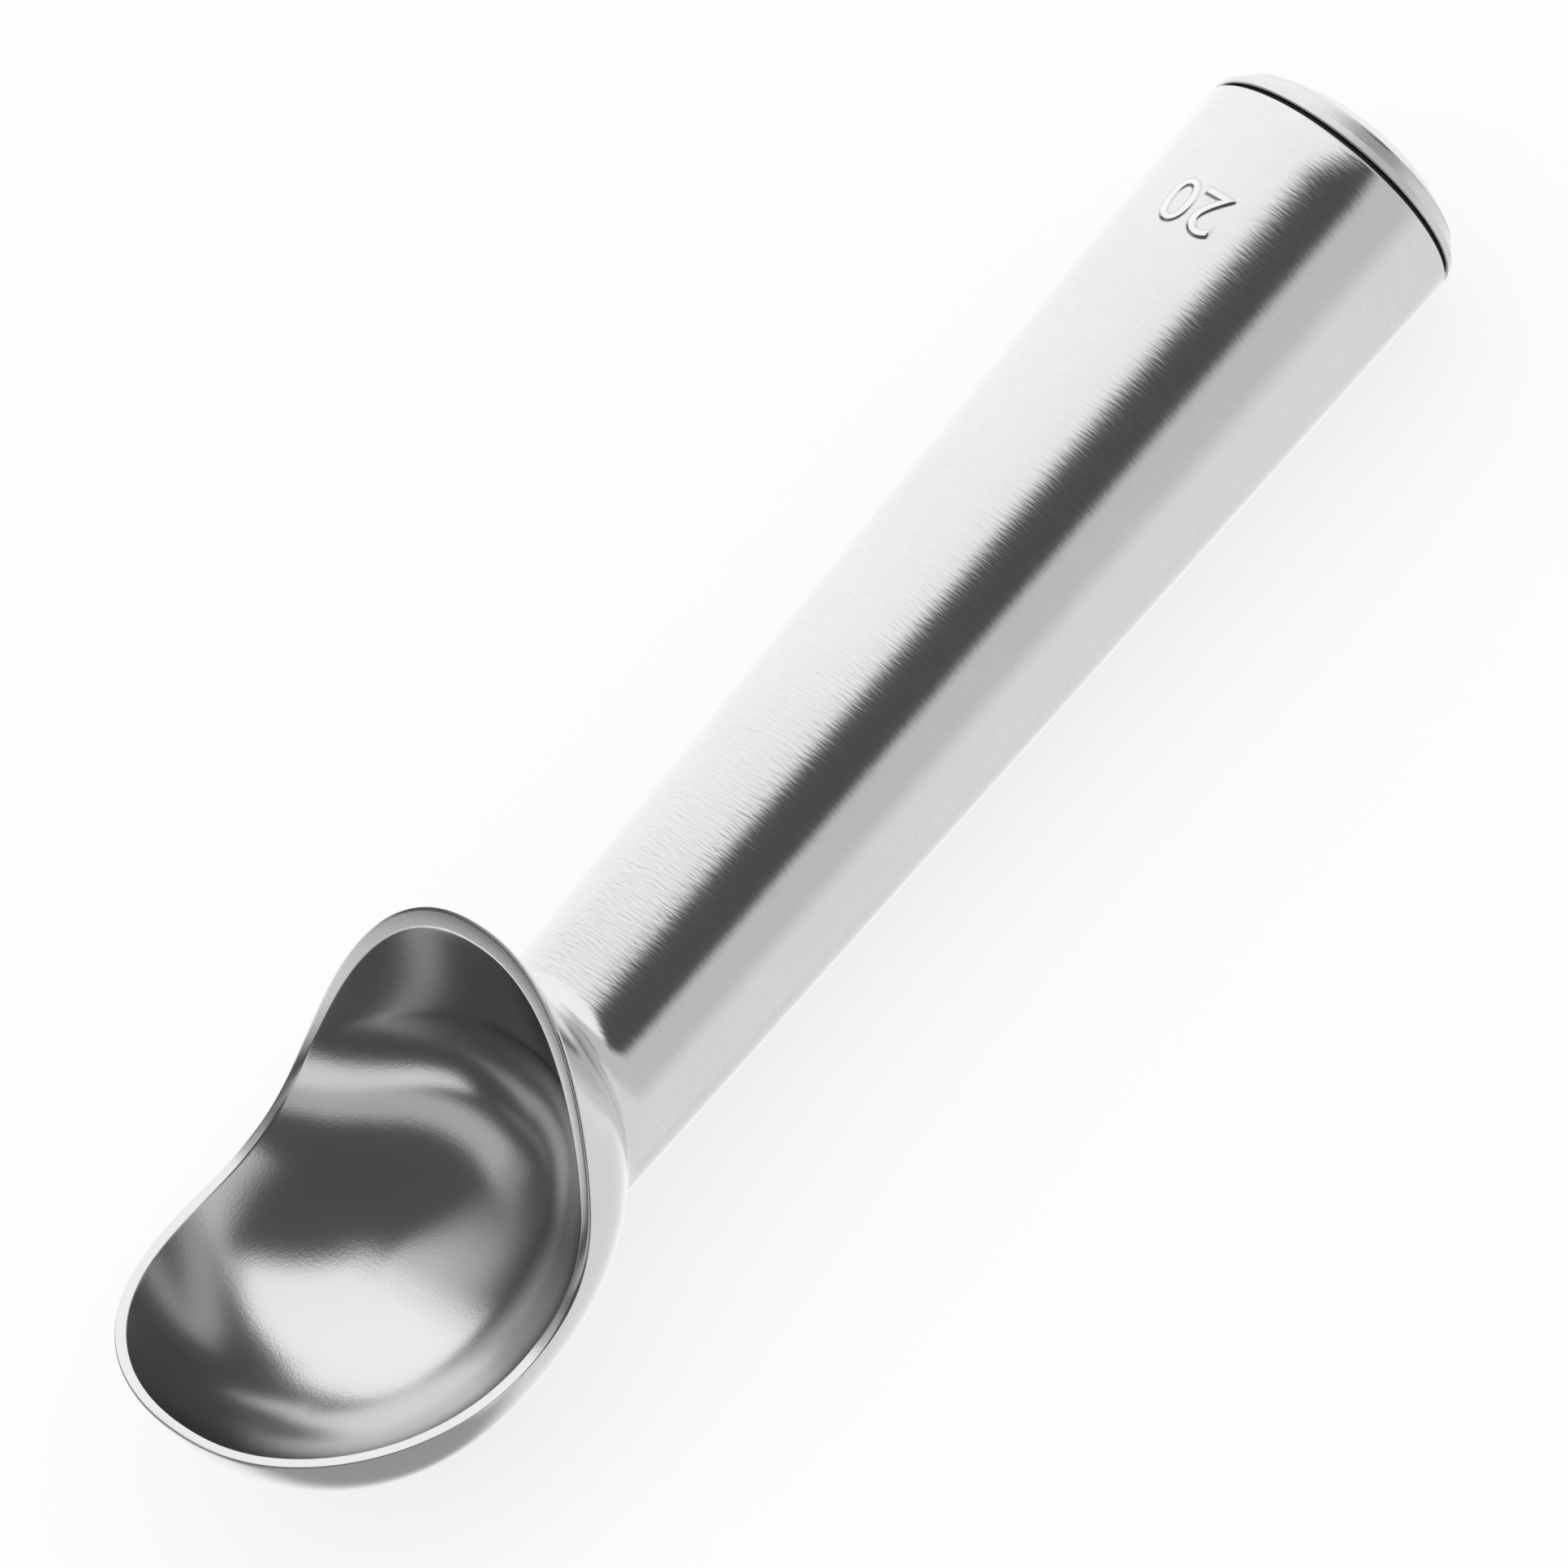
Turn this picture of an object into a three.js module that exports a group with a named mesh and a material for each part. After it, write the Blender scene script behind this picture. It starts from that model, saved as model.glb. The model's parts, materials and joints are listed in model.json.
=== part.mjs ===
// Ice cream dipper: a one-piece cast bowl and hollow handle, closed by a pressed-in end cap.
// The handle's axis is X, the cap is on the plus side and the mouth of the bowl faces plus Z.
// All sizes are in millimetres.
import * as THREE from 'three';

// Handle: a straight cone with its open end at x = 0
const HANDLE_LENGTH = 120.7;
const HANDLE_END_RADIUS = 15.6;
const HANDLE_NECK_RADIUS = 11.9;
const HANDLE_EDGE_ROUND = 0.6;
const HANDLE_WALL = 3;
const NECK_SOLID = 9;
const NECK_FILLET = 3.4;

// Bowl, outer skin: a full oval in plan, round in depth, upright above its widest level
const BOWL_LENGTH = 55.95;
const BOWL_WIDTH = 46.7;
const BOWL_DROP = 11.55;
const BOWL_DEPTH = 23;
const WIDEST_SETBACK = 29.4;
const DEEPEST_SETBACK = 27.8;
const PLAN_FULLNESS = 2.2;
const DEPTH_FULLNESS = 2.16;

// Bowl wall and lip
const WALL_AT_TIP = 1.05;
const WALL_AT_HEEL = 1.6;
const WALL_AT_BOTTOM = 5;
const LIP_ROUND_AT_TIP = 0.3;
const LIP_ROUND_AT_HEEL = 0.8;
const LIP_INNER_ROUND = 0.15;

// Rim seen from the side, from the widest level: up at the heel, down at the waist, level at the tip
const RIM_HEEL_RISE = 16.85;
const RIM_WAIST_FALL = 6.61;
const RIM_TIP_RISE = 0.6;
const RIM_WAIST_SETBACK = 28.3;
const RIM_HEEL_REACH = 14.3;
const RIM_HEEL_SLOPE = 1.06;
const RIM_WAIST_REACH_HEEL = 11.9;
const RIM_WAIST_REACH_TIP = 9.6;
const RIM_TIP_REACH = 4.9;
const RIM_TIP_SLOPE = 0.02;

// End cap: a spigot in the seat, a flange on the gasket and a stepped, slightly domed crown
const SEAT_DEPTH = 11;
const SEAT_SHOULDER = 0.6;
const SPIGOT_LENGTH = 9;
const SPIGOT_CLEARANCE = 0.1;
const SPIGOT_CHAMFER = 0.8;
const SPIGOT_WALL = 2;
const FLANGE_SETBACK = 0.15;
const FLANGE_THICKNESS = 0.9;
const FLANGE_EDGE_ROUND = 0.3;
const BEVEL_WIDTH = 1.5;
const BEVEL_HEIGHT = 1.5;
const STEP_WIDTH = 0.3;
const STEP_DEPTH = 0.3;
const CROWN_HEIGHT = 2.75;
const CROWN_FLAT_RADIUS = 7.5;

// Seals and filling
const GASKET_GAP = 0.45;
const GASKET_CLEARANCE = 0.03;
const GASKET_SETBACK = 0.5;
const RING_SECTION = 1.7;
const RING_CLEARANCE = 0.1;
const RING_DEPTH = 4.6;
const FLUID_CLEARANCE = 0.3;
const AIR_SPACE = 6;

// Facets
const AROUND = 60;
const HANDLE_RINGS = 5;
const FILLET_RINGS = 5;
const BOWL_RINGS = 11;
const INSIDE_RINGS = 11;
const ROUND_STEPS = 3;

const heelX = -HANDLE_LENGTH;
const bowlX = heelX - WIDEST_SETBACK;
const tipX = heelX - BOWL_LENGTH;
const heelHalf = WIDEST_SETBACK;
const tipHalf = BOWL_LENGTH - WIDEST_SETBACK;
const halfWidth = BOWL_WIDTH / 2;
const bottomShift = WIDEST_SETBACK - DEEPEST_SETBACK;
const bowlLevel = BOWL_DEPTH - BOWL_DROP;
const wallRise = BOWL_DEPTH * Math.PI / 2;
const taper = (HANDLE_END_RADIUS - HANDLE_NECK_RADIUS) / HANDLE_LENGTH;

// Side profile of the rim, two curves that meet level at the waist
const heelPoint = new THREE.Vector2(heelX, bowlLevel + RIM_HEEL_RISE);
const waistPoint = new THREE.Vector2(heelX - RIM_WAIST_SETBACK, bowlLevel - RIM_WAIST_FALL);
const tipPoint = new THREE.Vector2(tipX, bowlLevel + RIM_TIP_RISE);
const heelCurve = new THREE.CubicBezierCurve(
  heelPoint,
  new THREE.Vector2(heelX - RIM_HEEL_REACH, heelPoint.y - RIM_HEEL_REACH * RIM_HEEL_SLOPE),
  new THREE.Vector2(waistPoint.x + RIM_WAIST_REACH_HEEL, waistPoint.y),
  waistPoint);
const tipCurve = new THREE.CubicBezierCurve(
  waistPoint,
  new THREE.Vector2(waistPoint.x - RIM_WAIST_REACH_TIP, waistPoint.y),
  new THREE.Vector2(tipX + RIM_TIP_REACH, tipPoint.y - RIM_TIP_REACH * RIM_TIP_SLOPE),
  tipPoint);

// Halves an interval until the value of rising(t) changes sign inside it
function solve(rising, low, high) {
  for (let step = 0; step < 48; step += 1) {
    const middle = (low + high) / 2;
    if (rising(middle) < 0) low = middle;
    else high = middle;
  }
  return (low + high) / 2;
}

function rimHeight(x) {
  const curve = x > waistPoint.x ? heelCurve : tipCurve;
  const t = solve((u) => x < curve.getPoint(u).x ? -1 : 1, 0, 1);
  return curve.getPoint(t).y;
}

// Share of the bowl's depth below its widest level
function sunkShare(height) {
  return Math.max(0, (bowlLevel - height) / BOWL_DEPTH);
}

// Distance from the bowl's upright axis, as a share of the plan at the widest level
function planShare(point) {
  const forward = point.x - bowlX - bottomShift * sunkShare(point.z);
  const along = forward / (forward > 0 ? heelHalf : tipHalf);
  const across = point.y / halfWidth;
  const spread = (Math.abs(along) ** PLAN_FULLNESS + Math.abs(across) ** PLAN_FULLNESS)
    ** (1 / PLAN_FULLNESS);
  return { spread, angle: Math.atan2(across, along) };
}

// The bowl's skin is mapped from a flat disc: its centre is the bottom, radius 1 is the widest level
function bowlPoint(flat) {
  const radius = flat.length();
  const angle = Math.atan2(flat.y, flat.x);
  const plan = (Math.abs(Math.cos(angle)) ** PLAN_FULLNESS
    + Math.abs(Math.sin(angle)) ** PLAN_FULLNESS) ** (-1 / PLAN_FULLNESS);
  let spread = 1;
  let height = bowlLevel + (radius - 1) * wallRise;
  if (radius < 1) {
    const sine = Math.sin(radius * Math.PI / 2);
    const cosine = Math.cos(radius * Math.PI / 2);
    const scale = (sine ** DEPTH_FULLNESS + cosine ** DEPTH_FULLNESS) ** (-1 / DEPTH_FULLNESS);
    spread = sine * scale;
    height = bowlLevel - BOWL_DEPTH * cosine * scale;
  }
  const half = flat.x > 0 ? heelHalf : tipHalf;
  return new THREE.Vector3(
    bowlX + bottomShift * sunkShare(height) + half * spread * plan * Math.cos(angle),
    halfWidth * spread * plan * Math.sin(angle),
    height);
}

// The place on the flat disc that a point on the bowl's skin comes from
function flatten(point) {
  const { spread, angle } = planShare(point);
  const sunk = sunkShare(point.z);
  const radius = sunk > 0
    ? Math.atan2(spread, sunk) * 2 / Math.PI
    : 1 + (point.z - bowlLevel) / wallRise;
  return new THREE.Vector2(radius * Math.cos(angle), radius * Math.sin(angle));
}

// Above zero outside the bowl's full skin, below zero inside it
function outside(point) {
  const { spread } = planShare(point);
  return (spread ** DEPTH_FULLNESS + sunkShare(point.z) ** DEPTH_FULLNESS) ** (1 / DEPTH_FULLNESS) - 1;
}

function skinNormal(flat) {
  const step = 1e-3;
  const east = bowlPoint(new THREE.Vector2(flat.x + step, flat.y));
  const west = bowlPoint(new THREE.Vector2(flat.x - step, flat.y));
  const north = bowlPoint(new THREE.Vector2(flat.x, flat.y + step));
  const south = bowlPoint(new THREE.Vector2(flat.x, flat.y - step));
  return north.sub(south).cross(east.sub(west)).normalize();
}

function handlePoint(x, angle) {
  const radius = HANDLE_END_RADIUS + taper * x;
  return new THREE.Vector3(x, radius * Math.sin(angle), radius * Math.cos(angle));
}

// Where each line of the handle runs into the bowl, counted from the top of the handle
function neckPoint(angle) {
  let reach = bowlX;
  if (outside(handlePoint(bowlX, angle)) < 0) {
    reach = solve((x) => outside(handlePoint(x, angle)), bowlX, heelX + NECK_FILLET);
  }
  return handlePoint(reach, angle);
}

function rimFlat(angle) {
  const facing = new THREE.Vector2(Math.cos(angle), Math.sin(angle));
  const radius = solve((r) => {
    const point = bowlPoint(facing.clone().multiplyScalar(r));
    return point.z - rimHeight(point.x);
  }, 0.2, 1 + 1.5 * RIM_HEEL_RISE / wallRise);
  return facing.multiplyScalar(radius);
}

// A size that goes from the tip's value to the heel's value round the rim
function alongRim(rim, atTip, atHeel) {
  const heelShare = (1 + rim.x / rim.length()) / 2;
  return atTip + (atHeel - atTip) * heelShare ** 3;
}

// Inside of the bowl under a place on the flat disc, by a wall between the lip's and the bottom's
function insidePoint(flat, rim) {
  const lip = alongRim(rim, WALL_AT_TIP, WALL_AT_HEEL);
  const share = Math.min(1, flat.length() / rim.length());
  const wall = WALL_AT_BOTTOM + (lip - WALL_AT_BOTTOM) * share ** 3;
  return bowlPoint(flat).addScaledVector(skinNormal(flat), -wall);
}

// The lip is cut straight across by the side profile, so its inner edge follows the profile too
function innerRimFlat(rim) {
  const radius = solve((r) => {
    const point = insidePoint(rim.clone().setLength(r), rim);
    return point.z - rimHeight(point.x);
  }, 0.2, 1.1 * rim.length());
  return rim.clone().setLength(radius);
}

const angles = Array.from({ length: AROUND }, (unused, j) => 2 * Math.PI * j / AROUND);
const rims = angles.map(rimFlat);
const innerRims = rims.map(innerRimFlat);
const necks = angles.map(neckPoint);

function roundRing(x, radius) {
  return angles.map((a) => new THREE.Vector3(x, radius * Math.sin(a), radius * Math.cos(a)));
}

// Rounded corner of a lathed edge, as [x, radius] pairs
function cornerArc(x, radius, size, from, to) {
  const arc = [];
  for (let step = 0; step <= ROUND_STEPS; step += 1) {
    const a = from + (to - from) * step / ROUND_STEPS;
    arc.push([x + size * Math.cos(a), radius + size * Math.sin(a)]);
  }
  return arc;
}

// The place a given distance from one point on the way to another
function towards(from, to, distance) {
  return to.clone().sub(from).setLength(distance).add(from);
}

// Casting: rings from the blind end of the bore, out over the handle and bowl, to the bowl's bottom
const boreEnd = heelX + NECK_SOLID;
const seatRadius = HANDLE_END_RADIUS - HANDLE_WALL;
const boreMouthRadius = seatRadius - SEAT_SHOULDER;
const boreEndRadius = HANDLE_END_RADIUS + taper * boreEnd - HANDLE_WALL - SEAT_SHOULDER;
const boreEndRound = boreEndRadius / 2;

function castingRings() {
  const rings = [];
  const bore = cornerArc(boreEnd + boreEndRound, boreEndRadius - boreEndRound, boreEndRound,
    Math.PI, Math.PI / 2);
  bore.push([-SEAT_DEPTH, boreMouthRadius], [-SEAT_DEPTH, seatRadius], [0, seatRadius]);
  const edge = cornerArc(-HANDLE_EDGE_ROUND, HANDLE_END_RADIUS - HANDLE_EDGE_ROUND,
    HANDLE_EDGE_ROUND, 0, Math.PI / 2);
  for (const [x, radius] of [...bore, ...edge]) rings.push(roundRing(x, radius));

  // Straight lines of the handle up to the fillet
  const starts = necks.map((neck, j) => handlePoint(neck.x + NECK_FILLET, angles[j]));
  for (let i = 1; i <= HANDLE_RINGS; i += 1) {
    const share = i / HANDLE_RINGS;
    const from = -HANDLE_EDGE_ROUND;
    rings.push(starts.map((start, j) => handlePoint(from + (start.x - from) * share, angles[j])));
  }

  // Fillet from the handle to the bowl, then the bowl's skin to the rim
  const flats = necks.map(flatten);
  const shares = necks.map((neck, j) => {
    const near = bowlPoint(flats[j].clone().lerp(rims[j], 0.05));
    return 0.05 * NECK_FILLET / Math.max(near.distanceTo(bowlPoint(flats[j])), 1e-3);
  });
  const ends = necks.map((neck, j) => bowlPoint(flats[j].clone().lerp(rims[j], shares[j])));
  for (let i = 1; i <= FILLET_RINGS; i += 1) {
    const t = i / FILLET_RINGS;
    rings.push(necks.map((neck, j) => new THREE.QuadraticBezierCurve3(
      starts[j], neck, ends[j]).getPoint(t)));
  }
  for (let i = 1; i < BOWL_RINGS; i += 1) {
    const t = i / (BOWL_RINGS + 1);
    rings.push(rims.map((rim, j) => bowlPoint(
      flats[j].clone().lerp(rim, shares[j] + (1 - shares[j]) * t))));
  }

  // Lip, with a round outer and inner edge
  const outers = rims.map(bowlPoint);
  const inners = innerRims.map((flat, j) => insidePoint(flat, rims[j]));
  const roundEdge = (corners, froms, tos, sizes) => {
    for (let step = 0; step <= ROUND_STEPS; step += 1) {
      rings.push(corners.map((corner, j) => new THREE.QuadraticBezierCurve3(
        towards(corner, froms[j], sizes[j]), corner, towards(corner, tos[j], sizes[j]))
        .getPoint(step / ROUND_STEPS)));
    }
  };
  roundEdge(outers, rims.map((rim, j) => bowlPoint(flats[j].clone().lerp(rim, 0.98))), inners,
    rims.map((rim) => alongRim(rim, LIP_ROUND_AT_TIP, LIP_ROUND_AT_HEEL)));
  const sunken = innerRims.map((flat, j) => insidePoint(flat.clone().multiplyScalar(0.98), rims[j]));
  roundEdge(inners, outers, sunken, rims.map(() => LIP_INNER_ROUND));

  // Inside of the bowl down to its bottom
  for (let i = 1; i < INSIDE_RINGS; i += 1) {
    const t = 1 - i / INSIDE_RINGS;
    rings.push(innerRims.map((flat, j) => insidePoint(flat.clone().multiplyScalar(t), rims[j])));
  }
  return rings;
}

// Closed skin over a row of rings with a point at each end
function ringSolid(first, rings, last) {
  const positions = [first, ...rings.flat(), last].flatMap((p) => [p.x, p.y, p.z]);
  const count = rings[0].length;
  const end = rings.length * count + 1;
  const index = [];
  for (let j = 0; j < count; j += 1) {
    const next = (j + 1) % count;
    index.push(0, 1 + next, 1 + j);
    for (let i = 0; i + 1 < rings.length; i += 1) {
      const here = 1 + i * count;
      const there = here + count;
      index.push(here + j, here + next, there + next);
      index.push(here + j, there + next, there + j);
    }
    index.push(end - count + j, end - count + next, end);
  }
  const geometry = new THREE.BufferGeometry();
  geometry.setAttribute('position', new THREE.Float32BufferAttribute(positions, 3));
  geometry.setIndex(index);
  geometry.computeVertexNormals();
  return geometry;
}

// Revolves [x, radius] pairs about the X axis, with the facets in line with the casting's
function turned(profile) {
  const points = profile.map(([x, radius]) => new THREE.Vector2(radius, x));
  return new THREE.LatheGeometry(points, AROUND).rotateZ(-Math.PI / 2);
}

const bottom = new THREE.Vector3(heelX - DEEPEST_SETBACK, 0, WALL_AT_BOTTOM - BOWL_DROP);
const castingGeometry = ringSolid(new THREE.Vector3(boreEnd, 0, 0), castingRings(), bottom);

// End cap, from the inner end of its hollow spigot to the flat of its crown
const spigotRadius = seatRadius - SPIGOT_CLEARANCE;
const ringOuter = seatRadius - RING_CLEARANCE;
const ringCentre = ringOuter - RING_SECTION / 2;
const grooveRadius = ringOuter - RING_SECTION - RING_CLEARANCE;
const grooveHalf = RING_SECTION / 2 + RING_CLEARANCE;
const spigotBore = grooveRadius - SPIGOT_WALL;
const flangeRadius = HANDLE_END_RADIUS - FLANGE_SETBACK;
const flangeTop = GASKET_GAP + FLANGE_THICKNESS;
const bevelTop = flangeTop + BEVEL_HEIGHT;
const stepRadius = flangeRadius - BEVEL_WIDTH;
const crownRadius = stepRadius - STEP_WIDTH;
const crownFoot = bevelTop - STEP_DEPTH;
const crownTop = bevelTop + CROWN_HEIGHT;

const crown = new THREE.CubicBezierCurve(
  new THREE.Vector2(crownFoot, crownRadius),
  new THREE.Vector2((crownFoot + crownTop) / 2, (2 * crownRadius + CROWN_FLAT_RADIUS) / 3),
  new THREE.Vector2(crownTop, (crownRadius + 2 * CROWN_FLAT_RADIUS) / 3),
  new THREE.Vector2(crownTop, CROWN_FLAT_RADIUS));

const capProfile = [
  [0, 0],
  [0, spigotBore],
  [-SPIGOT_LENGTH, spigotBore],
  [-SPIGOT_LENGTH, spigotRadius - SPIGOT_CHAMFER],
  [-SPIGOT_LENGTH + SPIGOT_CHAMFER, spigotRadius],
  [-RING_DEPTH - grooveHalf, spigotRadius],
  [-RING_DEPTH - grooveHalf, grooveRadius],
  [-RING_DEPTH + grooveHalf, grooveRadius],
  [-RING_DEPTH + grooveHalf, spigotRadius],
  [GASKET_GAP, spigotRadius],
  ...cornerArc(GASKET_GAP + FLANGE_EDGE_ROUND, flangeRadius - FLANGE_EDGE_ROUND, FLANGE_EDGE_ROUND,
    Math.PI, Math.PI / 2),
  [flangeTop, flangeRadius],
  [bevelTop, stepRadius],
  [crownFoot, stepRadius],
  ...crown.getPoints(2 * ROUND_STEPS).map((p) => [p.x, p.y]),
  [crownTop, 0],
];

const gasketProfile = [
  [GASKET_CLEARANCE, seatRadius],
  [GASKET_CLEARANCE, flangeRadius - GASKET_SETBACK],
  [GASKET_GAP - GASKET_CLEARANCE, flangeRadius - GASKET_SETBACK],
  [GASKET_GAP - GASKET_CLEARANCE, seatRadius],
  [GASKET_CLEARANCE, seatRadius],
];

const ringProfile = [];
for (let step = 0; step <= 10; step += 1) {
  const a = -2 * Math.PI * (step % 10) / 10;
  ringProfile.push([-RING_DEPTH + RING_SECTION / 2 * Math.cos(a),
    ringCentre + RING_SECTION / 2 * Math.sin(a)]);
}

const fluidFace = -Math.max(SEAT_DEPTH, SPIGOT_LENGTH) - AIR_SPACE;
const fluidTaper = (boreMouthRadius - boreEndRadius) / (-SEAT_DEPTH - boreEnd - boreEndRound);
const fluidFaceRadius = boreMouthRadius + fluidTaper * (fluidFace + SEAT_DEPTH) - FLUID_CLEARANCE;
const fluidProfile = [
  [boreEnd + FLUID_CLEARANCE, 0],
  ...cornerArc(boreEnd + boreEndRound, boreEndRadius - boreEndRound, boreEndRound - FLUID_CLEARANCE,
    Math.PI, Math.PI / 2),
  [fluidFace, fluidFaceRadius],
  [fluidFace, 0],
];

function metal(color, roughness) {
  return new THREE.MeshStandardMaterial({ color, roughness, metalness: 1 });
}
const castMetal = metal(0xc9cac8, 0.22);
const capMetal = metal(0xc2c3c2, 0.38);
const seal = new THREE.MeshStandardMaterial({ color: 0x111111, roughness: 0.8, metalness: 0 });
const liquid = new THREE.MeshStandardMaterial({ color: 0xb9c7cf, roughness: 0.1, metalness: 0 });

function piece(name, geometry, material) {
  const mesh = new THREE.Mesh(geometry, material);
  mesh.name = name;
  return mesh;
}

const dipper = new THREE.Group();
dipper.add(
  piece('dipper_casting', castingGeometry, castMetal),
  piece('end_cap', turned(capProfile), capMetal),
  piece('cap_gasket', turned(gasketProfile), seal),
  piece('cap_o_ring', turned(ringProfile), seal),
  piece('heat_fluid', turned(fluidProfile), liquid));

// At rest the dipper lies on the end of its handle and the bottom of its bowl
const skin = castingGeometry.getAttribute('position');
let restSlope = Infinity;
for (let i = 0; i < skin.count; i += 1) {
  const back = -HANDLE_EDGE_ROUND - skin.getX(i);
  if (back > HANDLE_LENGTH) restSlope = Math.min(restSlope, (skin.getZ(i) + HANDLE_END_RADIUS) / back);
}
dipper.rotation.y = -Math.atan(restSlope);
dipper.updateMatrixWorld(true);

const part = new THREE.Group();
part.add(dipper);
const box = new THREE.Box3().setFromObject(dipper, true);
dipper.position.set(-(box.min.x + box.max.x) / 2, 0, -box.min.z);
part.updateMatrixWorld(true);

export default part;
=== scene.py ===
"""Looks of an ice cream dipper: a one-piece cast metal bowl and handle with a turned end cap."""

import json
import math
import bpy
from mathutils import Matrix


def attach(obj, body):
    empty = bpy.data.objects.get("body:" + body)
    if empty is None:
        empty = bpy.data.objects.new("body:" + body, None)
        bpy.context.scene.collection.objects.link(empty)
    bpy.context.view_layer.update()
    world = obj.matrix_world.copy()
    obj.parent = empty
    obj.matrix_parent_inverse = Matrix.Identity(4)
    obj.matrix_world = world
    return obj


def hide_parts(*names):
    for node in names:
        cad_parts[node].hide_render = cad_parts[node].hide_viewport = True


bl_info = {
    "name": "Ice Cream Dipper",
    "version": (1, 0, 0),
    "blender": (4, 5, 0),
    "location": "View3D > Sidebar > Dipper",
    "description": "Models the casting, size number, end cap and seal of a dipper, and its studio",
    "category": "Add Mesh",
}

import bpy
import numpy as np
from mathutils import Matrix, Vector

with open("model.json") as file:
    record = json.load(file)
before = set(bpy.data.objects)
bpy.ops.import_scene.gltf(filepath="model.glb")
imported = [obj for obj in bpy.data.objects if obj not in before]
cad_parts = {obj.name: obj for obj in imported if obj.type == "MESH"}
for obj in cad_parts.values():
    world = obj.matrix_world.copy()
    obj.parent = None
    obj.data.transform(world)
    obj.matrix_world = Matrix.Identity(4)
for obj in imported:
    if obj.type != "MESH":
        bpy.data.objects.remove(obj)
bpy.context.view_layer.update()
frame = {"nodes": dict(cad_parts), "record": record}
CAP_FACE = next(m for m in frame["record"]["mounts"] if m["name"] == "cap_end_face")


# Properties that a user would change

def length(name, description, default):
    return bpy.props.FloatProperty(
        name=name, description=description, default=default, min=0.0,
        precision=5, subtype="DISTANCE", unit="LENGTH")


def number(name, description, default):
    return bpy.props.FloatProperty(name=name, description=description, default=default, precision=3)


def colour(name, description, default):
    return bpy.props.FloatVectorProperty(
        name=name, description=description, default=default, size=3, min=0.0, max=1.0, subtype="COLOR")


class DipperCastingSizes(bpy.types.PropertyGroup):
    """Sizes of the casting, along and around the handle's axis."""

    handle_length: length("Handle length", "Open end of the handle to the heel of the bowl", 0.1207)
    end_radius: length("End radius", "Radius of the handle at its open end", 0.0156)
    neck_radius: length("Neck radius", "Radius of the handle where it meets the heel", 0.0119)
    edge_round: length("Edge round", "Round on the edge of the handle's open end", 0.0004)
    handle_wall: length("Handle wall", "Wall round the seat of the cap", 0.003)
    bore_depth: length("Bore depth", "Depth of the hollow in the handle", 0.1117)
    seat_depth: length("Seat depth", "Depth of the wider seat of the cap", 0.011)
    seat_shoulder: length("Seat shoulder", "Step from the seat in to the bore", 0.0006)
    neck_fillet: length("Neck fillet", "Reach of the fillet between handle and bowl", 0.0034)
    bowl_length: length("Bowl length", "Outer length of the bowl, heel to tip", 0.05595)
    bowl_width: length("Bowl width", "Outer width of the bowl at its widest level", 0.0467)
    bowl_level: length("Bowl level", "Height of the widest level above the handle's axis", 0.01145)
    bowl_depth: length("Bowl depth", "Widest level down to the outer bottom", 0.023)
    widest: length("Widest place", "Heel to the widest place of the bowl", 0.0294)
    deepest: length("Deepest place", "Heel to the deepest place of the bowl", 0.0278)
    plan_fullness: number("Plan fullness", "Fullness of the oval seen from above, 2 is an ellipse", 2.2)
    depth_fullness: number("Depth fullness", "Fullness of the bowl's curve in depth", 2.16)
    wall_tip: length("Wall at tip", "Wall of the lip at the tip", 0.00105)
    wall_heel: length("Wall at heel", "Wall of the lip at the heel", 0.0013)
    wall_bottom: length("Wall at bottom", "Wall at the bottom of the bowl", 0.005)
    lip_round_tip: length("Lip round at tip", "Round of the lip's outer edge at the tip", 0.0003)
    lip_round_heel: length("Lip round at heel", "Round of the lip's outer edge at the heel", 0.0008)
    lip_inner_round: length("Lip inner round", "Round of the lip's inner edge", 0.00015)
    rim_heel: length("Rim at heel", "Height of the rim at the heel above the axis", 0.0283)
    rim_waist: length("Rim at waist", "Height of the rim at its lowest place", 0.00484)
    rim_tip: length("Rim at tip", "Height of the rim at the tip", 0.01205)
    rim_setback: length("Waist setback", "Heel to the lowest place of the rim", 0.0283)
    heel_reach: length("Heel reach", "How far the rim keeps its slope from the heel", 0.0143)
    heel_slope: number("Heel slope", "Fall of the rim at the heel, per length", 1.06)
    waist_reach_heel: length("Waist reach to heel", "How far the waist stays level to the heel", 0.0119)
    waist_reach_tip: length("Waist reach to tip", "How far the waist stays level to the tip", 0.0096)
    tip_reach: length("Tip reach", "How far the rim keeps its slope from the tip", 0.0049)
    tip_slope: number("Tip slope", "Fall of the rim behind the tip, per length", 0.02)


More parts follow.
